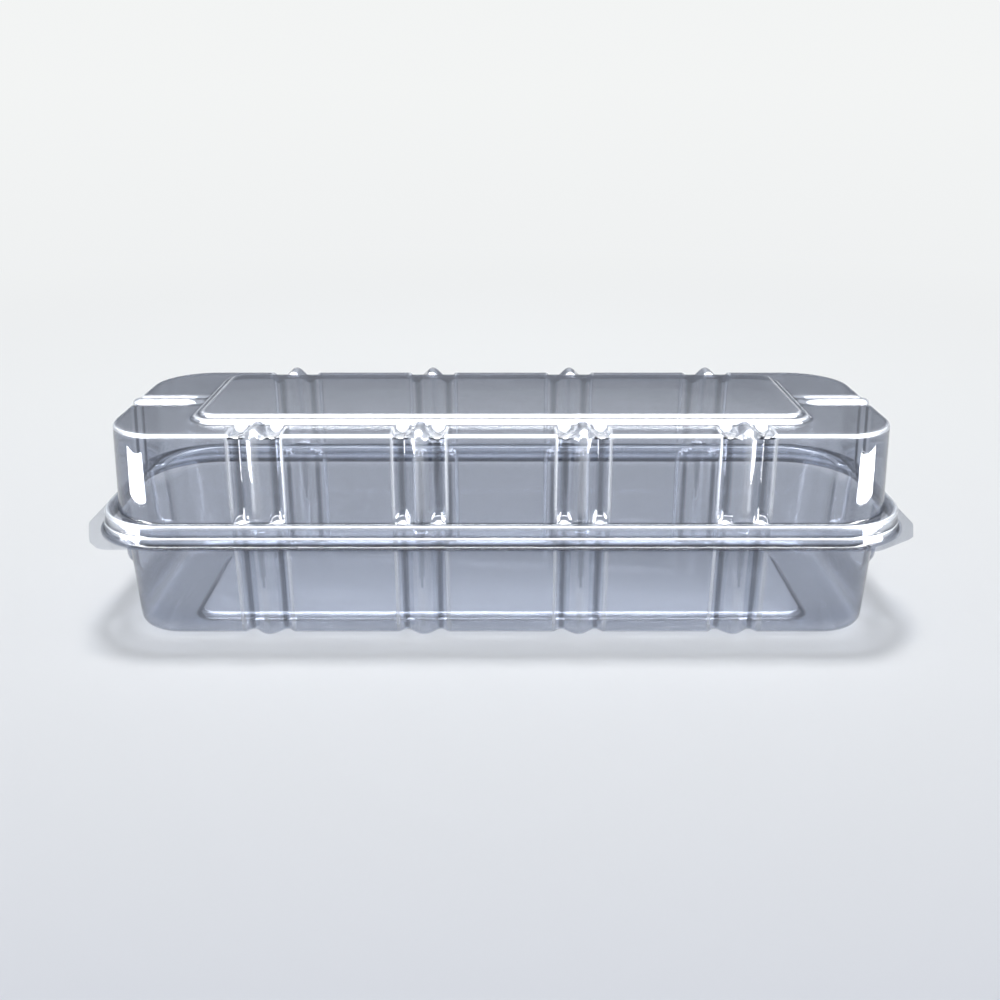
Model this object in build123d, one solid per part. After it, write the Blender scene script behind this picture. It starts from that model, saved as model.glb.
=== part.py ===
from build123d import *
import os
from math import cos, radians, sin, sqrt, tan

# Hinged food pack, formed from one clear sheet. X runs along the length, the front is -Y, +Z is up.
# The origin is the middle of the underside. Sizes are in millimetres.

# Driving dimensions
sheet = 0.4              # thickness of the formed sheet
lip_length = 331.0       # closing lip, overall
lip_width = 113.0
lip_corner = 33.0
lip_height = 40.5        # top face of the tray's lip, where the pack parts
lip_run = 1.8            # flat part of the lip outside the skirt
shelf_height = 49.5      # top face of the lid's shelf
skirt_draft = 6.0        # degrees
fit = 0.3                # gap between tray and lid

tray_length = 306.0      # tray walls, at the lip
tray_width = 101.0
tray_corner = 22.0
tray_draft = 2.5         # degrees
tray_edge = 7.0          # rounding where wall meets underside

lid_length = 312.0       # lid walls, at the shelf
lid_width = 103.0
lid_corner = 25.0
lid_draft = 2.5          # degrees
lid_edge = 5.0           # rounding of the shoulder
lid_height = 85.7        # top of the shoulder

rib_pitch = 63.0         # four rib groups along each long wall
rib_count = 4
rib_half = 4.0           # half width of the raised rib
rib_rise = 2.4           # how far it stands out
groove_width = 7.0       # groove on each side of it
groove_depth = 2.0
end_rib_half = 3.0       # the same on the lid's end walls
end_rib_rise = 1.2
end_groove_width = 4.0
end_groove_depth = 1.2

panel_rise = 3.1         # raised panel in the lid's top
panel_run = 6.0          # its sloped edge, seen from above
panel_length = 249.0
panel_width = 75.0
panel_corner = 12.0
floor_rise = 2.4         # floor panel, pushed up into the tray
floor_run = 2.8
floor_length = 257.0
floor_width = 71.0
floor_corner = 9.0

bulge_run = 6.0          # pocket in each end wall of the tray
bulge_width = 52.0
bulge_foot = 18.0
bulge_corner = 6.0
round_margin = 0.1       # keeps a rounding just under the one it meets

tab_reach = 5.0          # opening tabs at the front corners
tab_length = 52.0        # from the front edge back along the end
nose_near = 17.5         # where the tab's straight nose starts and ends, back from the front edge
nose_far = 41.0
nose_round = 6.0
left_slant = 8.5         # where the slanted front meets the lip, in from the lip's end
right_slant = 17.5

hinge_length = 262.0     # folded web along the back
hinge_depth = 0.8
hinge_tall = 0.6

edge_steps = 4           # levels in a rounded edge

ribs_x = [(i - (rib_count - 1) / 2) * rib_pitch for i in range(rib_count)]
hinge_height = lip_height + fit / 2
hinge_back = lip_width / 2
web_front = hinge_back - hinge_depth / 2


def meet(centre_a, radius_a, centre_b, radius_b):
    """Where two circles cross: the crossing that lies nearer the wall face."""
    dx = centre_b[0] - centre_a[0]
    dy = centre_b[1] - centre_a[1]
    span = sqrt(dx * dx + dy * dy)
    along = (span * span + radius_a * radius_a - radius_b * radius_b) / (2 * span)
    across = sqrt(max(radius_a * radius_a - along * along, 0.0))
    mid = (centre_a[0] + along * dx / span, centre_a[1] + along * dy / span)
    first = (mid[0] - across * dy / span, mid[1] + across * dx / span)
    second = (mid[0] + across * dy / span, mid[1] - across * dx / span)
    return min(first, second, key=lambda point: abs(point[1]))


def rib_group(half, rise, groove, depth, inset):
    """Groove, raised rib, groove: (along, out) points of three arcs, for a wall face moved in by inset."""
    groove_radius = ((groove / 2) ** 2 + depth**2) / (2 * depth)
    rib_radius = (half**2 + rise**2) / (2 * rise)
    groove_centre = (half + groove / 2, groove_radius - depth)
    rib_centre = (0.0, rise - rib_radius)
    wide = groove_radius + inset
    narrow = rib_radius - inset
    outer = sqrt(wide**2 - (groove_centre[1] + inset) ** 2)
    corner = meet(groove_centre, wide, rib_centre, narrow)
    right = [corner, (groove_centre[0], -depth - inset), (groove_centre[0] + outer, -inset)]
    left = [(-along, out) for along, out in reversed(right)]
    return left + [(0.0, rise - inset)] + right


def side(start, end, groups, place):
    """Edges of one straight wall, from start to end along it, broken by rib groups."""
    edges = []
    here = start
    for centre, points in groups:
        spots = [place(centre + along, out) for along, out in points]
        edges.append(Line(place(here, None), spots[0]))
        for k in (0, 2, 4):
            edges.append(ThreePointArc(*spots[k : k + 3]))
        here = centre + points[-1][0]
    edges.append(Line(place(here, None), place(end, None)))
    return edges


def outline(length, width, corner, inset, height, end_ribs=False):
    """Rounded rectangle at one level, with its ribs. Everything is drawn inset inwards from its face."""
    x, y = length / 2, width / 2
    long_ribs = rib_group(rib_half, rib_rise, groove_width, groove_depth, inset)
    short_ribs = rib_group(end_rib_half, end_rib_rise, end_groove_width, end_groove_depth, inset)
    along = [(centre, long_ribs) for centre in ribs_x]
    across = [(0.0, short_ribs)] if end_ribs else []

    def wall(turn, reach):
        def place(step, out):
            out = -inset if out is None else out
            walls = [(step, -reach - out), (reach + out, step), (-step, reach + out), (-reach - out, -step)]
            return walls[turn]

        return place

    edges = []
    for turn in range(4):
        run, reach, groups = ((x, y, along), (y, x, across))[turn % 2]
        place = wall(turn, reach)
        edges += side(-run + corner, run - corner, groups, place)
        bend = corner - inset
        middle = place(run - corner + bend * sin(radians(45)), bend * cos(radians(45)) - corner)
        following = wall((turn + 1) % 4, (y, x)[(turn + 1) % 2])
        after = following(-(x, y)[(turn + 1) % 2] + corner, None)
        edges.append(ThreePointArc(place(run - corner, None), middle, after))
    return Pos(0, 0, height) * make_face(Curve() + edges)


def shell_form(length, width, corner, draft, edge, tall, inset, end_ribs=False):
    """Solid of the walls up to a rounded edge and flat end face; inset gives the inside of the sheet."""
    lean = (tall - edge) * tan(radians(draft))
    levels = [(0.0, 0.0), (lean, tall - edge)]
    bend = edge - inset
    for k in range(1, edge_steps + 1):
        angle = radians(90 * k / edge_steps)
        levels.append((lean + edge - inset - bend * cos(angle), tall - edge + bend * sin(angle)))
    faces = []
    for inward, height in levels:
        size = (length - 2 * inward, width - 2 * inward, corner - inward)
        faces.append(outline(*size, inset, height, end_ribs))
    return loft(faces, ruled=True)


def plate(length, width, corner, low, high):
    """Flat rounded rectangle between two heights."""
    return Pos(0, 0, low) * extrude(RectangleRounded(length, width, corner), high - low)


def raised_panel(length, width, corner, run, rise, low):
    """Low block with sloped sides, for the panels pressed into the lid's top and the tray's floor."""
    foot = Pos(0, 0, low) * RectangleRounded(length, width, corner)
    crown = RectangleRounded(length - 2 * run, width - 2 * run, corner - run)
    return loft([foot, Pos(0, 0, low + rise) * crown], ruled=True)


def skirt_form(grow, low, high):
    """Drafted block whose foot is the skirt's outer face, moved outwards by grow."""
    rise = high - low
    foot_length = lip_length - 2 * lip_run + 2 * grow
    foot_width = lip_width - 2 * lip_run + 2 * grow
    foot_corner = lip_corner - lip_run + grow
    lean = rise * tan(radians(skirt_draft))
    foot = RectangleRounded(foot_length, foot_width, foot_corner)
    top = RectangleRounded(foot_length - 2 * lean, foot_width - 2 * lean, foot_corner - lean)
    return loft([Pos(0, 0, low) * foot, Pos(0, 0, high) * top], ruled=True)


def behind(line):
    """Everything behind a line along the back, to trim a lip where it meets the living hinge."""
    return Pos(0, line + lip_width / 2, shelf_height) * Box(2 * lip_length, lip_width, 2 * lid_height)


def pocket(side_sign, inset, top):
    """Pocket that stands out of one end wall of the tray, from the shelf down to its foot."""
    depth = 2 * (bulge_run + tray_corner)
    tall = top - bulge_foot - inset + bulge_corner
    block = Pos(0, 0, bulge_foot + inset + tall / 2) * Box(depth - 2 * inset, bulge_width - 2 * inset, tall)
    block = fillet(block.edges().filter_by(Axis.Z), bulge_corner - inset)
    block = fillet(block.faces().sort_by(Axis.Z)[0].edges(), bulge_corner - inset - round_margin)
    block &= Pos(0, 0, top / 2) * Box(2 * depth, 2 * bulge_width, top)
    return Pos(side_sign * (tray_length / 2 - tray_corner), 0, 0) * block


def tab(side_sign, slant, low):
    """Corner tab: the lip's front corner drawn out to a nose, with a slanted front."""
    side_x = lip_length / 2 - fit
    front_y = -lip_width / 2 + fit
    inner_x = side_x - lip_corner
    points = [
        (side_x - fit, front_y + tab_length),
        (side_x + tab_reach, front_y + nose_far),
        (side_x + tab_reach, front_y + nose_near),
        (side_x - slant, front_y),
        (inner_x, front_y),
        (inner_x, front_y + tab_length),
    ]
    flat = make_face(Polyline(*[(side_sign * x, y) for x, y in points], close=True))
    corners = flat.vertices().sort_by(Axis.X)
    flat = fillet(corners[-2:] if side_sign > 0 else corners[:2], nose_round)
    return Pos(0, 0, low) * extrude(flat, sheet, dir=(0, 0, 1))


def make_tray():
    """Tray: floor, ribbed walls, closing ring, lip and right corner tab."""
    ring_top = shelf_height - sheet - fit
    grow = 2 * (ring_top - lip_height) * tan(radians(tray_draft))
    mouth = (tray_length + grow, tray_width + grow)
    turned = Pos(0, 0, ring_top) * Rot(180, 0, 0)
    outer = turned * shell_form(*mouth, tray_corner, tray_draft, tray_edge, ring_top, 0)
    inner = turned * shell_form(*mouth, tray_corner, tray_draft, tray_edge, ring_top, sheet)
    ring = skirt_form(-sheet - fit, lip_height - sheet, ring_top)
    under = skirt_form(-2 * sheet - fit, lip_height - 2 * sheet, ring_top - sheet)
    brim = plate(lip_length - 2 * fit, lip_width - 2 * fit, lip_corner, lip_height - sheet, lip_height)
    brim -= behind(web_front)
    body = outer + (ring + brim + tab(1, right_slant, lip_height - sheet) - (under - outer))
    hollow = inner
    for side_sign in (-1, 1):
        body += pocket(side_sign, 0, ring_top)
        hollow += pocket(side_sign, sheet, ring_top)
    body -= hollow
    panel = raised_panel(floor_length, floor_width, floor_corner, floor_run, floor_rise, 0)
    cover = Pos(0, 0, sheet) * panel
    return body + cover - panel


def make_lid():
    """Lid: ribbed walls, raised top panel, shelf, skirt, lip and left corner tab."""
    tall = lid_height - shelf_height
    outer = Pos(0, 0, shelf_height) * shell_form(
        lid_length, lid_width, lid_corner, lid_draft, lid_edge, tall, 0, True
    )
    inner = Pos(0, 0, shelf_height) * shell_form(
        lid_length, lid_width, lid_corner, lid_draft, lid_edge, tall, sheet, True
    )
    opening = Pos(0, 0, shelf_height - sheet) * extrude(
        outline(lid_length, lid_width, lid_corner, sheet, 0, True), sheet
    )
    top_panel = raised_panel(panel_length, panel_width, panel_corner, panel_run, panel_rise, lid_height)
    lip_low = lip_height + fit
    skirt = skirt_form(0, lip_low, shelf_height)
    skirt_inside = skirt_form(-sheet, lip_low, shelf_height - sheet)
    brim = plate(lip_length - 2 * fit, lip_width - 2 * fit, lip_corner, lip_low, lip_low + sheet)
    brim += tab(-1, left_slant, lip_low)
    within = 2 * lip_run + sheet
    brim -= plate(lip_length - within, lip_width - within, lip_corner - lip_run, 0, lid_height)
    brim -= behind(web_front - fit)
    walls = outer + top_panel - inner - Pos(0, 0, -sheet) * top_panel
    return walls + (skirt - skirt_inside - opening) + brim


def make_hinge():
    """Living hinge: the folded web, with a flat front on the tray's lip and a round back."""
    half = hinge_tall / 2
    front = -hinge_depth / 2
    straight = hinge_depth - half
    section = Curve() + [
        Line((front, -half), (front + straight, -half)),
        ThreePointArc((front + straight, -half), (front + hinge_depth, 0), (front + straight, half)),
        Line((front + straight, half), (front, half)),
        Line((front, half), (front, -half)),
    ]
    place = Plane((-hinge_length / 2, hinge_back, hinge_height), x_dir=(0, 1, 0), z_dir=(1, 0, 0))
    return extrude(place * make_face(section), hinge_length)


os.makedirs("parts", exist_ok=True)
for name, make in (("base_tray", make_tray), ("lid", make_lid), ("living_hinge", make_hinge)):
    export_step(make(), f"parts/{name}.step")
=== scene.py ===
"""Clear hinged food pack: thin formed film with pressed ribs, drawn over its CAD frame."""
import math

import bpy
import numpy as np
from mathutils import Matrix, Vector


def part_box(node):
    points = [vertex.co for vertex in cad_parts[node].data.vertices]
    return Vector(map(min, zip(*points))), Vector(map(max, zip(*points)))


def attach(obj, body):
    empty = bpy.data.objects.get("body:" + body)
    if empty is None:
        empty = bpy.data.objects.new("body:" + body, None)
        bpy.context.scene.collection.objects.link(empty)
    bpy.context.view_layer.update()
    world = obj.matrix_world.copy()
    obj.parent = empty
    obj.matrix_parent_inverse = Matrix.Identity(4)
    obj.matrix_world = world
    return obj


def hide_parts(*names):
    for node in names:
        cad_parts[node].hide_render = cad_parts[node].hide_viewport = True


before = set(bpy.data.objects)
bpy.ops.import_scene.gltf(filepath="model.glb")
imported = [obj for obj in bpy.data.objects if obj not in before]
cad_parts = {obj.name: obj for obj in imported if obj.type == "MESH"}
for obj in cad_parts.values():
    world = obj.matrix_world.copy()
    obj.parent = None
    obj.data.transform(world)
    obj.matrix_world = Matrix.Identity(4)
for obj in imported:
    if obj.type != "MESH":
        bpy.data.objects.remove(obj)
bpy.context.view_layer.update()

MM = 0.001

# Film and formed shapes, in millimetres. Every ring of the film is a rounded rectangle: the corner
# centres stand at (core x, core y), and the film lies one radius outside them.
FILM = 0.4
LID_CORE = (131.0, 26.5)
LIP_CORE = (132.5, 23.5)
TRAY_CORE = (131.0, 28.5)
PANEL_CORE = (112.5, 25.5)
FLOOR_CORE = (119.5, 26.5)
LIP_RADIUS = 32.7

LID_LIP = 41.2           # heights above the table, each on the face that the rings follow
SHELF = 49.5
LID_TOP = 85.7
PANEL_TOP = 88.8
TRAY_LIP = 40.5
RING_TOP = 48.8
FLOOR_TOP = 2.8

FLAT_TO = 108.0          # ribs stand inside this, so the film runs straight across it
RIB_PITCH = 63.0
RIBS_X = tuple(RIB_PITCH * place for place in (-1.5, -0.5, 0.5, 1.5))
END_PITCH = 400.0        # wider than the end wall is deep, so one rib stands there
RIB_REACH = 11.5         # the film is divided finely this far to each side of a rib
LID_RIB = {"Half width": 3.7, "Rise": 2.4, "Groove width": 6.6, "Groove depth": 2.3}
TRAY_RIB = {"Half width": 3.8, "Rise": 2.3, "Groove width": 6.2, "Groove depth": 2.4}
END_RIB = {"Half width": 2.6, "Rise": 1.0, "Groove width": 4.4, "Groove depth": 1.3}
POCKET_RUN = 6.0
POCKET_HALF = 26.0
POCKET_FOOT = 18.0
POCKET_RISE = 6.0        # height of the round over the pocket's ledge
POCKET_SIDE = 5.0
SHELF_INNER, SHELF_OUTER = 153.5, 161.0
LIP_STEPS = 4
SMOOTH_TO = math.radians(50)

# Corner tabs: each side of the outline as (share of x, share of depth towards the front, reach).
TAB_BACK = 20.0          # the tabs stay in front of this
SHARED_SIDES = ((1.0, 0.0, 170.2), (0.0, 1.0, 56.2), (0.90, -0.436, 150.4), (0.94, 0.33, 169.2))
LEFT_TAB = SHARED_SIDES + ((0.787, 0.617, 158.0),)
RIGHT_TAB = SHARED_SIDES + ((0.607, 0.795, 133.9),)

# Tones, and the share of the floor's tone that comes from light and so holds the shadow.
FILM_TINT = (0.765, 0.78, 0.815, 1)
# Deep film colour: the tint at glancing views, and also the painted shade laid in the film's creases.
FILM_DEEP_AND_CREASE_SHADE = (0.16, 0.175, 0.21, 1)
FILM_CLEAR = (0.93, 0.94, 0.96, 1)
# Ridge colour: a painted highlight, given as a pale rough gloss that the lamps and world still light.
RIDGE_HIGHLIGHT_TONE = (0.55, 0.57, 0.60, 1)
BACKDROP = (0.895, 0.908, 0.905, 1)
# Floor colour at the front: painted shade, darker and bluer than the backdrop.
FRONT_SHADE = (0.694, 0.716, 0.768, 1)
SOFT_LIGHT = (0.42, 0.43, 0.44, 1)
LOW_SHINE = (0.10, 0.11, 0.14, 1)
HIGH_SHINE = (0.9, 0.93, 0.97, 1)
FLOOR_LIT = 0.68

# Camera, in metres and degrees.
EYE = (-0.0005, -0.4519, 0.2090)
LOOK_DOWN = 20.44
LENS = 39.75


# Nodes ------------------------------------------------------------------------------------------
def wire(tree, kind, sources=(), **settings):
    """Add a node, set its properties, and feed its inputs from sockets or plain values."""
    node = tree.nodes.new(kind)
    for name, value in settings.items():
        setattr(node, name, value)
    for key, source in sources.items() if isinstance(sources, dict) else enumerate(sources):
        if isinstance(source, bpy.types.NodeSocket):
            tree.links.new(source, node.inputs[key])
        elif source is not None:
            node.inputs[key].default_value = source
    return node


def maths(tree, operation, *sources):
    """Output of a math node fed from sockets or plain values."""
    return wire(tree, "ShaderNodeMath", sources, operation=operation).outputs[0]


def eased(tree, value, from_low, from_high, to_low, to_high):
    """Output of a smooth map-range node."""
    ends = [value, from_low, from_high, to_low, to_high]
    return wire(tree, "ShaderNodeMapRange", ends, interpolation_type="SMOOTHSTEP").outputs[0]


def rib_press():
    """Geometry Nodes: press a row of rib groups into the film, each a groove, a round rib, a groove."""
    tree = bpy.data.node_groups.new("press_ribs", "GeometryNodeTree")
    face = tree.interface
    face.new_socket("Geometry", in_out="INPUT", socket_type="NodeSocketGeometry")
    for name in ("Pitch", "Phase", "Half width", "Rise", "Groove width", "Groove depth"):
        face.new_socket(name, in_out="INPUT", socket_type="NodeSocketFloat")
    face.new_socket("Push", in_out="INPUT", socket_type="NodeSocketString")
    face.new_socket("Film", in_out="INPUT", socket_type="NodeSocketMaterial")
    face.new_socket("Geometry", in_out="OUTPUT", socket_type="NodeSocketGeometry")
    given = wire(tree, "NodeGroupInput").outputs
    along = wire(tree, "GeometryNodeInputNamedAttribute", ["along"], data_type="FLOAT").outputs[0]
    named = wire(tree, "GeometryNodeInputNamedAttribute", [given["Push"]], data_type="FLOAT_VECTOR")
    push = named.outputs[0]
    half_pitch = maths(tree, "MULTIPLY", given["Pitch"], 0.5)
    low = maths(tree, "MULTIPLY", given["Pitch"], -0.5)
    local = maths(tree, "WRAP", maths(tree, "ADD", along, given["Phase"]), half_pitch, low)
    away = maths(tree, "ABSOLUTE", local)
    on_rib = maths(tree, "MINIMUM", maths(tree, "DIVIDE", away, given["Half width"]), 1.0)
    crown = maths(tree, "COSINE", maths(tree, "MULTIPLY", on_rib, math.pi / 2))
    rib = maths(tree, "MULTIPLY", crown, given["Rise"])
    past = maths(tree, "DIVIDE", maths(tree, "SUBTRACT", away, given["Half width"]), given["Groove width"])
    in_groove = maths(tree, "MAXIMUM", maths(tree, "MINIMUM", past, 1.0), 0.0)
    dip = maths(tree, "SINE", maths(tree, "MULTIPLY", in_groove, math.pi))
    groove = maths(tree, "MULTIPLY", dip, given["Groove depth"])
    height = maths(tree, "SUBTRACT", rib, groove)
    offset = wire(tree, "ShaderNodeVectorMath", {0: push, "Scale": height}, operation="SCALE").outputs[0]
    moved = wire(tree, "GeometryNodeSetPosition", {"Geometry": given["Geometry"], "Offset": offset})
    real = wire(tree, "GeometryNodeRealizeInstances", [moved.outputs[0]]).outputs[0]
    done = wire(tree, "GeometryNodeSetMaterial", {"Geometry": real, "Material": given["Film"]}).outputs[0]
    wire(tree, "NodeGroupOutput", [done])
    return tree


def press(piece, tree, push, pitch, phase, rib, film):
    """Put the rib tree on a piece and set its inputs by identifier."""
    modifier = piece.modifiers.new("ribs", "NODES")
    modifier.node_group = tree
    sizes = {name: value * MM for name, value in rib.items()}
    values = {"Pitch": pitch * MM, "Phase": phase * MM, "Push": push, "Film": film, **sizes}
    for item in tree.interface.items_tree:
        if item.in_out == "INPUT" and item.name in values:
            modifier[item.identifier] = values[item.name]


# Film meshes ------------------------------------------------------------------------------------
def smooth(value, low, high):
    """0 below low, 1 above high, with a smooth rise between."""
    t = min(max((value - low) / (high - low), 0.0), 1.0)
    return t * t * (3 - 2 * t)


def spread(low, high, centres, near, fine, coarse):
    """Steps from low to high, fine within near of each centre and coarse elsewhere."""
    steps = [low]
    while steps[-1] < high - 1e-6:
        here = steps[-1]
        close = any(abs(here + fine / 2 - centre) < near for centre in centres)
        to_next = min([centre - near - here for centre in centres if centre - near > here + 1e-6] + [coarse])
        steps.append(min(here + (fine if close else max(min(to_next, coarse), fine)), high))
    return steps


def stations(core):
    """The way round the pack from the front left, as (core point, outward direction, side)."""
    cx, cy = core
    across = spread(-cx, cx, RIBS_X, RIB_REACH, 0.7, 3.0)
    depth = spread(-cy, cy, (-24.0, 0.0, 24.0), 7.0, 0.8, 2.0)
    turn = [math.radians(90 * k / 16) for k in range(1, 16)]
    ring = [((x, -cy), (0.0, -1.0), "front") for x in across]
    ring += [((cx, -cy), (math.sin(a), -math.cos(a)), "corner") for a in turn]
    ring += [((cx, y), (1.0, 0.0), "right") for y in depth]
    ring += [((cx, cy), (math.cos(a), math.sin(a)), "corner") for a in turn]
    ring += [((x, cy), (0.0, 1.0), "back") for x in reversed(across)]
    ring += [((-cx, cy), (-math.sin(a), math.cos(a)), "corner") for a in turn]
    ring += [((-cx, y), (-1.0, 0.0), "left") for y in reversed(depth)]
    ring += [((-cx, -cy), (-math.cos(a), -math.sin(a)), "corner") for a in turn]
    return ring


def at_core(station, base, core):
    """A station's core point, carried from the wall's core rectangle to another one."""
    (x, y), _, _ = station
    far = max(abs(x) - FLAT_TO, 0.0) * (core[0] - FLAT_TO) / (base[0] - FLAT_TO)
    x = math.copysign(min(abs(x), FLAT_TO) + far, x)
    return x, y * core[1] / base[1]


def rounded(knots, step):
    """Points along a path of knots (core, radius, height, bend), with each bend drawn as an arc."""
    path = [knots[0][:3]]

    def mix(a, b, t):
        core = (a[0][0] + (b[0][0] - a[0][0]) * t, a[0][1] + (b[0][1] - a[0][1]) * t)
        return core, a[1] + (b[1] - a[1]) * t, a[2] + (b[2] - a[2]) * t

    def gap(a, b):
        return max(math.hypot(b[0][0] + b[1] - a[0][0] - a[1], b[2] - a[2]), 1e-6)

    for before, knot, after in zip(knots, knots[1:], knots[2:]):
        reach_in = min(knot[3], 0.49 * gap(before, knot))
        reach_out = min(knot[3], 0.49 * gap(knot, after))
        start = mix(knot, before, reach_in / gap(before, knot))
        end = mix(knot, after, reach_out / gap(knot, after))
        path += straight(path[-1], start, step, mix, gap)
        count = 9 if knot[3] > 3 else 5
        for k in range(1, count + 1):
            t = k / (count + 1)
            path.append(mix(mix(start, knot, t), mix(knot, end, t), t))
        path.append(end)
    path += straight(path[-1], knots[-1][:3], step, mix, gap) + [knots[-1][:3]]
    return path


def straight(start, end, step, mix, gap):
    """Points between two path points, no further than step apart, with the end point last."""
    count = max(1, math.ceil(gap(start, end) / step))
    return [mix(start, end, k / count) for k in range(1, count)] + ([end] if count == 1 else [])


def tab_extra(point, way, sides):
    """How far the lip runs on along way before it meets the tab's outline."""
    steps = []
    for nx, ny, reach in sides:
        facing = nx * abs(way[0]) - ny * way[1]
        if facing > 0.05:
            held = nx * abs(point[0]) - ny * point[1]
            steps.append((reach - held) / facing)
    return max(min(steps), 0.0)


def film_rings(ring, base, path, tab):
    """Wall rings from the lip inwards. tab is (side sign, outline) for the corner that is drawn out."""
    rings = []
    for core, radius, height in path:
        row = []
        for station in ring:
            x, y = at_core(station, base, core)
            row.append([x + radius * station[1][0], y + radius * station[1][1], height])
        rings.append(row)
    sign, sides = tab
    lip = rings[0]
    for k, station in enumerate(ring):
        x, y, z = lip[k]
        way = station[1]
        if x * sign > 0 and y < TAB_BACK and way[0] * sign > 0.01:
            extra = tab_extra((x, y), way, sides)
            lip[k] = [x + way[0] * extra, y + way[1] * extra, z]
    return rings


def lip_steps(rings, count):
    """Rings again, with the flat lip divided between its edge and its inner line."""
    edge, foot = rings[0], rings[1]
    between = []
    for k in range(1, count):
        t = k / count
        between.append([[a + (b - a) * t for a, b in zip(p, q)] for p, q in zip(edge, foot)])
    return [edge] + between + rings[1:]


def inward_rings(last, core, levels, count):
    """Rings from the last wall ring across the flat border to a panel, then up the panel's edge."""
    def nearest(point):
        x = min(max(point[0], -core[0]), core[0])
        y = min(max(point[1], -core[1]), core[1])
        away = math.hypot(point[0] - x, point[1] - y)
        return x, y, (point[0] - x) / away, (point[1] - y) / away

    rings = []
    first_radius, first_height = levels[0]
    for k in range(1, count):
        t = k / count
        row = []
        for point in last:
            x, y, nx, ny = nearest(point)
            foot = (x + first_radius * nx, y + first_radius * ny, first_height)
            row.append([a + (b - a) * t for a, b in zip(point, foot)])
        rings.append(row)
    for radius, height in levels:
        row = []
        for point in last:
            x, y, nx, ny = nearest(point)
            row.append([x + radius * nx, y + radius * ny, height])
        rings.append(row)
    return rings


def ring_normals(rings):
    """Outward normals of the film at each point, from its neighbours along and across the rings."""
    normals = []
    total = len(rings[0])
    for i, row in enumerate(rings):
        above, below = rings[min(i + 1, len(rings) - 1)], rings[max(i - 1, 0)]
        line = []
        for k in range(total):
            across = Vector(above[k]) - Vector(below[k])
            along = Vector(row[(k + 1) % total]) - Vector(row[k - 1])
            line.append(along.cross(across).normalized())
        normals.append(line)
    return normals


def film_piece(name, rings, pushes, ends, clearer):
    """Mesh of the rings, closed at the last one, with the attributes that the rib tree reads."""
    total = len(rings[0])
    points = [[c * MM for c in point] for row in rings for point in row]
    faces = []
    for i in range(len(rings) - 1):
        for k in range(total):
            n = (k + 1) % total
            faces.append((i * total + k, i * total + n, (i + 1) * total + n, (i + 1) * total + k))
    faces.append(list(range((len(rings) - 1) * total, len(rings) * total)))
    mesh = bpy.data.meshes.new(name)
    mesh.from_pydata(points, [], faces)
    along = mesh.attributes.new("along", "FLOAT", "POINT")
    for key, rows in (("push_long", pushes), ("push_end", ends)):
        layer = mesh.attributes.new(key, "FLOAT_VECTOR", "POINT")
        layer.data.foreach_set("vector", [c for row in rows for push in row for c in push])
    values = []
    for row, end_row in zip(rings, ends):
        for point, end in zip(row, end_row):
            values.append((point[1] if any(end) else point[0]) * MM)
    along.data.foreach_set("value", values)
    clear = mesh.attributes.new("clearer", "FLOAT", "POINT")
    clear.data.foreach_set("value", [clearer(point) for row in rings for point in row])
    piece = bpy.data.objects.new(name, mesh)
    bpy.context.collection.objects.link(piece)
    return piece


def note_bends(mesh, side):
    """Store how sharply the film bends at each point: above zero on a ridge, below zero in a crease.

    side says, for each point, whether the sheet's own face is the one seen from outside (1) or not (-1).
    """
    count = len(mesh.vertices)
    where = np.zeros(count * 3)
    mesh.vertices.foreach_get("co", where)
    facing = np.zeros(count * 3)
    mesh.vertices.foreach_get("normal", facing)
    where, facing = where.reshape(-1, 3), facing.reshape(-1, 3)
    ends = np.zeros(len(mesh.edges) * 2, dtype=int)
    mesh.edges.foreach_get("vertices", ends)
    a, b = ends.reshape(-1, 2).T
    run = where[b] - where[a]
    length = np.maximum(np.linalg.norm(run, axis=1), 1e-5)
    turn = np.sum((facing[b] - facing[a]) * run, axis=1) / length ** 2 * FILM * MM
    ridge, crease = np.zeros(count), np.zeros(count)
    for end in (a, b):
        np.maximum.at(ridge, end, turn)
        np.minimum.at(crease, end, turn)
    bend = np.where(ridge > -crease, ridge, crease)
    bend *= [side(point / MM) for point in where]
    # The film's material lays a painted highlight on ridges and painted shade in creases by this value.
    mesh.attributes.new("bend", "FLOAT", "POINT").data.foreach_set("value", bend)


def settle(piece, film, side):
    """Give the film its thickness, freeze every modifier into a plain mesh, and shade it smooth."""
    depsgraph = bpy.context.evaluated_depsgraph_get()
    pressed = bpy.data.meshes.new_from_object(piece.evaluated_get(depsgraph))
    piece.modifiers.clear()
    note_bends(pressed, side)
    piece.data = pressed
    solid = piece.modifiers.new("film", "SOLIDIFY")
    solid.thickness = FILM * MM
    solid.offset = -1.0
    depsgraph = bpy.context.evaluated_depsgraph_get()
    plain = bpy.data.meshes.new_from_object(piece.evaluated_get(depsgraph))
    piece.modifiers.clear()
    piece.data = plain
    for key in ("push_long", "push_end", "along"):
        if key in plain.attributes:
            plain.attributes.remove(plain.attributes[key])
    plain.materials.clear()
    plain.materials.append(film)
    plain.shade_smooth()
    plain.set_sharp_from_angle(angle=SMOOTH_TO)
    return piece


def lid_clearer(point):
    """How clear the lid's film is: most at the lip, skirt and shelf, which lie double, then at the top."""
    height = point[2]
    return 1.0 - smooth(height, SHELF + 0.1, SHELF + 0.9) + 0.6 * smooth(height, LID_TOP - 3.7, LID_TOP - 0.3)


def tray_clearer(point):
    """How clear the tray's film is: most at the ring and lip, then at the floor, least in the walls."""
    height = point[2]
    return 0.15 + 0.85 * smooth(height, 38.0, 44.0) + 0.5 * (1.0 - smooth(height, 3.0, 8.0))


def tray_side(point):
    """The tray's walls and foot are seen from outside; its ring, lip and floor from above."""
    across, deep, height = abs(point[0]), abs(point[1]), point[2]
    wall = height < 47.5 and across < 160.5 and deep < 51.6 and (deep > 38.0 or across > 131.0)
    return -1.0 if wall else 1.0


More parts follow.
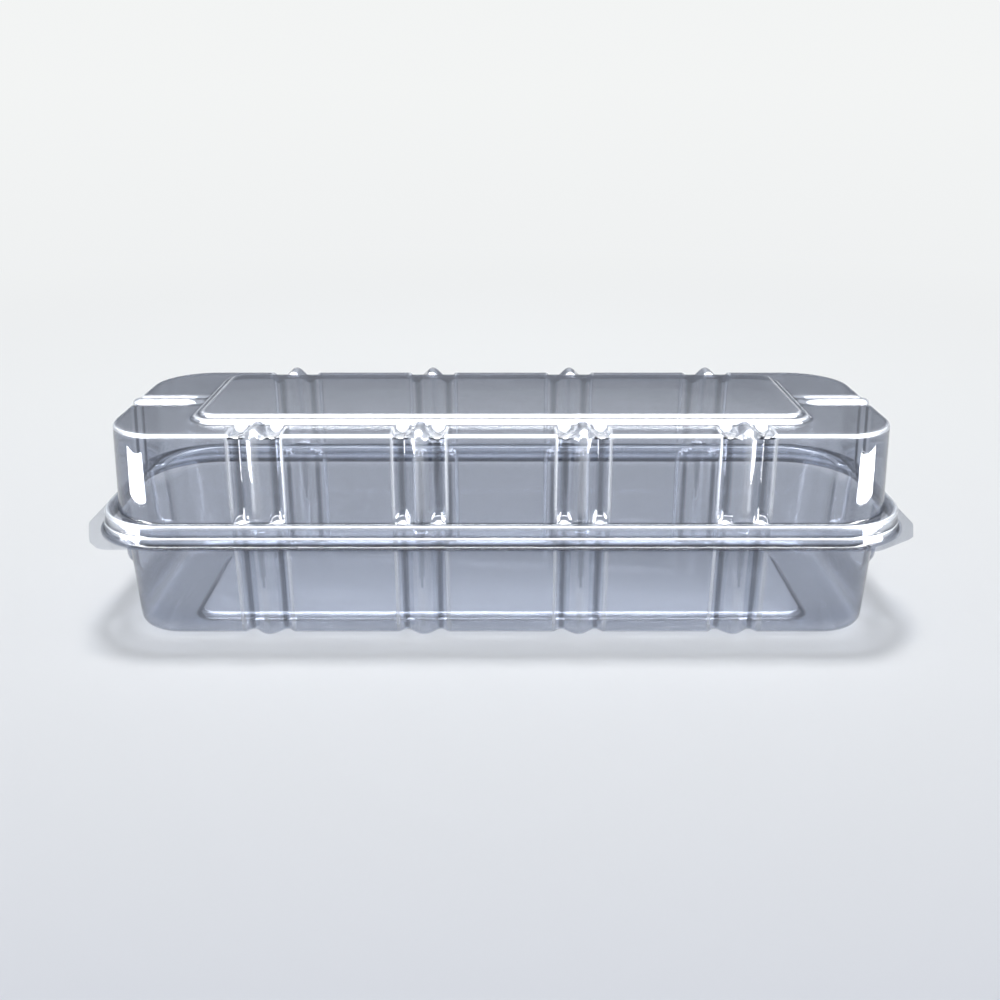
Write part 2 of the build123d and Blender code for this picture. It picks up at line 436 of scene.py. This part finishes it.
def lid_piece(tree, film):
    """The lid: lip, skirt, shelf, ribbed wall, rounded shoulder, top border and raised panel."""
    ring = stations(LID_CORE)
    knots = [
        (LIP_CORE, LIP_RADIUS, LID_LIP, 0.0),
        (LIP_CORE, 31.2, LID_LIP, 0.5),
        (LIP_CORE, 30.85, 44.6, 0.35),
        (LIP_CORE, 30.45, 44.9, 0.35),
        (LIP_CORE, 30.1, SHELF, 1.1),
        (LID_CORE, 25.0, SHELF, 0.9),
        (LID_CORE, 23.55, 83.0, 0.5),
        (LID_CORE, 23.4, LID_TOP, 4.6),
        (LID_CORE, 17.2, LID_TOP, 0.0),
    ]
    rings = film_rings(ring, LID_CORE, rounded(knots, 3.0), (-1, LEFT_TAB))
    rings = lip_steps(rings, LIP_STEPS)
    wall_count = len(rings)
    levels = [
        (12.4, LID_TOP), (11.9, 85.75), (11.3, 86.0), (10.6, 86.9), (10.1, 87.3), (9.5, 87.42),
        (8.7, 87.46), (8.2, 87.6), (7.6, 88.15), (7.1, 88.6), (6.5, 88.76), (5.8, PANEL_TOP),
    ]
    rings += inward_rings(rings[-1], PANEL_CORE, levels, 7)
    normals = ring_normals(rings)
    pushes, ends = [], []
    for i, row in enumerate(rings):
        border = smooth(i, wall_count + 4.0, wall_count + 6.6)
        push_row, end_row = [], []
        for k, point in enumerate(row):
            side = ring[k][2]
            strength = smooth(point[2], SHELF + 0.2, SHELF + 2.3) * (1 - border)
            push = normals[i][k] * strength
            push_row.append(push if side in ("front", "back") else (0, 0, 0))
            end_row.append(push if side in ("left", "right") else (0, 0, 0))
        pushes.append(push_row)
        ends.append(end_row)
    piece = film_piece("lid_film", rings, pushes, ends, lid_clearer)
    press(piece, tree, "push_long", RIB_PITCH, RIB_PITCH / 2, LID_RIB, film)
    press(piece, tree, "push_end", END_PITCH, 0.0, END_RIB, film)
    return settle(piece, film, lambda point: 1.0)


def tray_piece(tree, film):
    """The tray: lip, closing ring, ribbed wall with end pockets, rounded edge and raised floor."""
    ring = stations(TRAY_CORE)
    knots = [
        (LIP_CORE, LIP_RADIUS, TRAY_LIP, 0.0),
        (LIP_CORE, 30.5, TRAY_LIP, 0.4),
        (LIP_CORE, 29.63, RING_TOP, 0.8),
        (TRAY_CORE, 21.96, RING_TOP, 0.8),
        (TRAY_CORE, 20.2, 8.0, 0.5),
        (TRAY_CORE, 19.8, FILM, 6.4),
        (TRAY_CORE, 11.0, FILM, 0.0),
    ]
    rings = film_rings(ring, TRAY_CORE, rounded(knots, 1.6), (1, RIGHT_TAB))
    rings = lip_steps(rings, LIP_STEPS)
    wall_count = len(rings)
    levels = [(9.3, FILM), (8.8, 0.5), (8.2, 0.9), (7.3, 2.1), (6.7, 2.65), (6.1, FLOOR_TOP)]
    rings += inward_rings(rings[-1], FLOOR_CORE, levels, 5)
    for row in rings:
        for k, point in enumerate(row):
            add_pocket(point, ring[k])
    pushes, ends = [], []
    for i, row in enumerate(rings):
        border = smooth(i, wall_count + 2.0, wall_count + 4.6)
        push_row = []
        for k, point in enumerate(row):
            _, out, side = ring[k]
            inside = side in ("front", "back") and abs(point[1]) < TRAY_CORE[1] + 22.2
            strength = (1 - smooth(point[2], 46.0, RING_TOP - 0.2)) * (1 - border)
            push_row.append((0, out[1] * strength, 0) if inside else (0, 0, 0))
        pushes.append(push_row)
        ends.append([(0, 0, 0)] * len(row))
    piece = film_piece("tray_film", rings, pushes, ends, tray_clearer)
    press(piece, tree, "push_long", RIB_PITCH, RIB_PITCH / 2, TRAY_RIB, film)
    return settle(piece, film, tray_side)


def add_pocket(point, station):
    """Push the middle of an end wall outwards into its pocket, with a ledge at the pocket's foot."""
    if station[2] not in ("left", "right"):
        return
    x, y, z = point
    if abs(x) >= SHELF_OUTER:
        return
    across = smooth(POCKET_HALF - abs(y), 0.0, POCKET_SIDE)
    up = math.sqrt(smooth(z, POCKET_FOOT, POCKET_FOOT + POCKET_RISE))
    shelf = 1.0 if z < RING_TOP - 0.8 else 1.0 - smooth(abs(x), SHELF_INNER, SHELF_OUTER)
    point[0] += math.copysign(POCKET_RUN * across * up * shelf, x)


def hinge_piece(film):
    """The folded web along the back: a half-round strip with its flat on the tray's lip."""
    low, high = (Vector(c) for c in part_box("living_hinge"))
    radius = (high.z - low.z) / 2
    outline = [(low.y, low.z), (low.y, high.z)]
    for k in range(9):
        angle = math.pi / 2 - math.pi * k / 8
        y = high.y - radius + radius * math.cos(angle)
        outline.append((y, low.z + radius * (1 + math.sin(angle))))
    count = len(outline)
    steps = 40
    points, faces = [], []
    for i in range(steps + 1):
        x = low.x + (high.x - low.x) * i / steps
        points += [(x, y, z) for y, z in outline]
    for i in range(steps):
        for k in range(count):
            n = (k + 1) % count
            faces.append((i * count + k, i * count + n, (i + 1) * count + n, (i + 1) * count + k))
    faces.append(tuple(range(count)))
    faces.append(tuple(reversed(range(steps * count, (steps + 1) * count))))
    mesh = bpy.data.meshes.new("hinge_web")
    mesh.from_pydata(points, [], faces)
    mesh.flip_normals()
    mesh.materials.append(film)
    mesh.shade_smooth()
    mesh.set_sharp_from_angle(angle=SMOOTH_TO)
    piece = bpy.data.objects.new("hinge_web", mesh)
    bpy.context.collection.objects.link(piece)
    return piece


# Materials --------------------------------------------------------------------------------------
def film_ripple():
    """Shader group: the faint draw marks and waves of formed film, as a height."""
    tree = bpy.data.node_groups.new("film_ripple", "ShaderNodeTree")
    tree.interface.new_socket("Scale", in_out="INPUT", socket_type="NodeSocketFloat")
    tree.interface.new_socket("Strength", in_out="INPUT", socket_type="NodeSocketFloat")
    tree.interface.new_socket("Height", in_out="OUTPUT", socket_type="NodeSocketFloat")
    given = wire(tree, "NodeGroupInput").outputs
    where = wire(tree, "ShaderNodeTexCoord").outputs["Object"]
    wave = {"Vector": where, "Scale": given["Scale"], "Detail": 1.0}
    broad = wire(tree, "ShaderNodeTexNoise", wave).outputs[0]
    drawn = wire(tree, "ShaderNodeMapping", {"Vector": where, "Scale": (3.0, 3.0, 0.4)}).outputs[0]
    fine = wire(tree, "ShaderNodeTexNoise", {"Vector": drawn, "Scale": 90.0, "Detail": 1.0}).outputs[0]
    both = maths(tree, "ADD", broad, maths(tree, "MULTIPLY", fine, 0.12))
    wire(tree, "NodeGroupOutput", [maths(tree, "MULTIPLY", both, given["Strength"])])
    return tree


def clear_film(ripple):
    """Clear film: shows what is behind it, with a mirror gloss, a painted highlight on ridges drawn as a pale
    rough gloss, and painted shade in creases.
    """
    material = bpy.data.materials.new("clear_film")
    material.use_nodes = True
    tree = material.node_tree
    tree.nodes.clear()
    group = wire(tree, "ShaderNodeGroup", node_tree=ripple)
    group.inputs["Scale"].default_value = 28.0
    group.inputs["Strength"].default_value = 1.0
    bump = wire(tree, "ShaderNodeBump", {"Strength": 0.25, "Distance": 0.0004, "Height": group.outputs[0]})
    weight = wire(tree, "ShaderNodeLayerWeight", {"Blend": 0.5, "Normal": bump.outputs[0]})
    glance = weight.outputs["Facing"]
    bend = wire(tree, "ShaderNodeAttribute", attribute_name="bend").outputs["Fac"]
    # Painted highlight on ridges: where the film bends outwards it turns into a pale rough gloss.
    ridge = eased(tree, bend, 0.05, 0.34, 0.0, 0.54)
    # Painted shade in creases: where the film bends inwards its tint is darkened towards the deep colour,
    # less where the film is clearer.
    crease = eased(tree, bend, -0.06, -0.35, 0.0, 0.92)
    rim = wire(tree, "ShaderNodeAttribute", attribute_name="clearer").outputs["Fac"]
    crease_shade = maths(tree, "MULTIPLY", crease, maths(tree, "MULTIPLY_ADD", rim, -0.6, 1.0))
    # dark holds the deeper tint at glancing views, where the path through the film is long, together with the
    # painted crease shade.
    dark = maths(tree, "MAXIMUM", maths(tree, "POWER", glance, 6.0), crease_shade)
    body = wire(tree, "ShaderNodeMix", [rim], data_type="RGBA")
    body.inputs["A"].default_value = FILM_TINT
    body.inputs["B"].default_value = FILM_CLEAR
    colour = wire(tree, "ShaderNodeMix", [dark], data_type="RGBA")
    tree.links.new(body.outputs["Result"], colour.inputs["A"])
    colour.inputs["B"].default_value = FILM_DEEP_AND_CREASE_SHADE
    shows = wire(tree, "ShaderNodeBsdfTransparent", [colour.outputs["Result"]])
    gloss = wire(tree, "ShaderNodeBsdfGlossy", {"Roughness": 0.04, "Normal": bump.outputs[0]})
    gloss.inputs["Color"].default_value = (1, 1, 1, 1)
    # The painted ridge highlight: a pale rough gloss that reflects the lamps and the world.
    pale = wire(tree, "ShaderNodeBsdfGlossy", {"Roughness": 0.45})
    pale.inputs["Color"].default_value = RIDGE_HIGHLIGHT_TONE
    mirror = maths(tree, "MULTIPLY_ADD", maths(tree, "POWER", glance, 5.0), 0.80, 0.05)
    clear = wire(tree, "ShaderNodeMixShader", [mirror, shows.outputs[0], gloss.outputs[0]])
    whole = wire(tree, "ShaderNodeMixShader", [ridge, clear.outputs[0], pale.outputs[0]])
    wire(tree, "ShaderNodeOutputMaterial", [whole.outputs[0]])
    return material


# Setting ----------------------------------------------------------------------------------------
def light_setting():
    """Pale world: plain to the eye and through the film, softer as light, dark to bright in reflections."""
    world = bpy.data.worlds.new("studio")
    bpy.context.scene.world = world
    world.use_nodes = True
    tree = world.node_tree
    tree.nodes.clear()
    backdrop = wire(tree, "ShaderNodeBackground", [BACKDROP, 1.0])
    soft = wire(tree, "ShaderNodeBackground", [SOFT_LIGHT, 1.0])
    way = wire(tree, "ShaderNodeTexCoord").outputs["Generated"]
    up = wire(tree, "ShaderNodeSeparateXYZ", [way]).outputs["Z"]
    cards = wire(tree, "ShaderNodeValToRGB", [up])
    cards.color_ramp.elements[0].position = 0.15
    cards.color_ramp.elements[0].color = LOW_SHINE
    cards.color_ramp.elements[1].position = 0.55
    cards.color_ramp.elements[1].color = HIGH_SHINE
    shine = wire(tree, "ShaderNodeBackground", [cards.outputs[0], 1.0])
    path = wire(tree, "ShaderNodeLightPath").outputs
    seen = maths(tree, "MAXIMUM", path["Is Camera Ray"], path["Is Transmission Ray"])
    mixed = wire(tree, "ShaderNodeMixShader", [seen, soft.outputs[0], backdrop.outputs[0]])
    glossy = path["Is Glossy Ray"]
    glossed = wire(tree, "ShaderNodeMixShader", [glossy, mixed.outputs[0], shine.outputs[0]])
    wire(tree, "ShaderNodeOutputWorld", [glossed.outputs[0]])


def floor():
    """Plain pale floor, darkened a little towards the front by painted shade, that keeps the pack's shadow.
    """
    half = 60.0
    mesh = bpy.data.meshes.new("floor")
    corners = [(-half, -half, 0), (half, -half, 0), (half, half, 0), (-half, half, 0)]
    mesh.from_pydata(corners, [], [(0, 1, 2, 3)])
    material = bpy.data.materials.new("pale_floor")
    material.use_nodes = True
    tree = material.node_tree
    tree.nodes.clear()
    where = wire(tree, "ShaderNodeTexCoord").outputs["Object"]
    depth = wire(tree, "ShaderNodeSeparateXYZ", [where]).outputs["Y"]
    # Painted shade: the floor's colour darkens towards the front.
    back = maths(tree, "MAXIMUM", maths(tree, "ADD", depth, 0.452), 0.1)
    near = maths(tree, "DIVIDE", 0.21, back)
    tone = wire(tree, "ShaderNodeMix", [near], data_type="RGBA")
    tone.inputs["A"].default_value = BACKDROP
    tone.inputs["B"].default_value = FRONT_SHADE
    away = wire(tree, "ShaderNodeVectorMath", [where], operation="LENGTH").outputs["Value"]
    share = eased(tree, away, 0.25, 1.1, FLOOR_LIT, 0.0)
    scaled = {0: tone.outputs["Result"], "Scale": share}
    lit_tone = wire(tree, "ShaderNodeVectorMath", scaled, operation="SCALE")
    path = wire(tree, "ShaderNodeLightPath").outputs
    seen = maths(tree, "MAXIMUM", path["Is Camera Ray"], path["Is Glossy Ray"])
    seen = maths(tree, "MAXIMUM", seen, path["Is Transmission Ray"])
    shown = maths(tree, "MULTIPLY", seen, maths(tree, "SUBTRACT", 1.0, share))
    plain = wire(tree, "ShaderNodeEmission", [tone.outputs["Result"], shown])
    lit = wire(tree, "ShaderNodeBsdfDiffuse", [lit_tone.outputs[0]])
    both = wire(tree, "ShaderNodeAddShader", [plain.outputs[0], lit.outputs[0]])
    wire(tree, "ShaderNodeOutputMaterial", [both.outputs[0]])
    mesh.materials.append(material)
    piece = bpy.data.objects.new("floor", mesh)
    bpy.context.collection.objects.link(piece)
    piece.location.z = -0.0002


def softbox(name, place, aim, size, watts, on_floor=False):
    """Rectangular light, turned to face its aim. It lights the floor, or else shows only in reflections."""
    lamp = bpy.data.lights.new(name, "AREA")
    lamp.shape = "RECTANGLE"
    lamp.size, lamp.size_y = size
    lamp.energy = watts
    holder = bpy.data.objects.new(name, lamp)
    bpy.context.collection.objects.link(holder)
    turn = (Vector(aim) - Vector(place)).to_track_quat("-Z", "Y").to_matrix().to_4x4()
    holder.matrix_world = Matrix.Translation(place) @ turn
    holder.visible_diffuse = on_floor
    holder.visible_glossy = not on_floor


def camera():
    """Camera in front of the pack, looking down on it."""
    eye = bpy.data.cameras.new("camera")
    eye.lens = LENS
    eye.sensor_width = 36.0
    holder = bpy.data.objects.new("camera", eye)
    bpy.context.collection.objects.link(holder)
    holder.location = EYE
    holder.rotation_euler = (math.radians(90 - LOOK_DOWN), 0, 0)
    bpy.context.scene.camera = holder


bpy.context.scene.view_settings.view_transform = "Standard"
bpy.context.scene.cycles.transparent_max_bounces = 48
light_setting()
floor()
softbox("back_box", (0, 0.42, 1.9), (0, 0, 0.04), (0.3, 0.2), 23, True)
softbox("over_box", (0, -0.10, 0.8), (0, 0, 0.04), (1.7, 1.0), 80)
softbox("front_strip", (0, -1.1, 0.55), (0, 0, 0.06), (1.6, 0.10), 9)
for side in (-1, 1):
    softbox("side_strip", (0.75 * side, -0.55, 0.28), (0, 0, 0.05), (0.2, 0.5), 10)
    softbox("corner_card", (0.325 * side, -0.115, 0.016), (0.15 * side, -0.045, 0.07), (0.13, 0.028), 0.34)
camera()

wall_film = clear_film(film_ripple())
rib_tree = rib_press()
for film_part, node, body in (
    (lid_piece(rib_tree, wall_film), "lid", "cover"),
    (tray_piece(rib_tree, wall_film), "base_tray", "tray"),
    (hinge_piece(wall_film), "living_hinge", "tray"),
):
    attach(film_part, body)
    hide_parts(node)
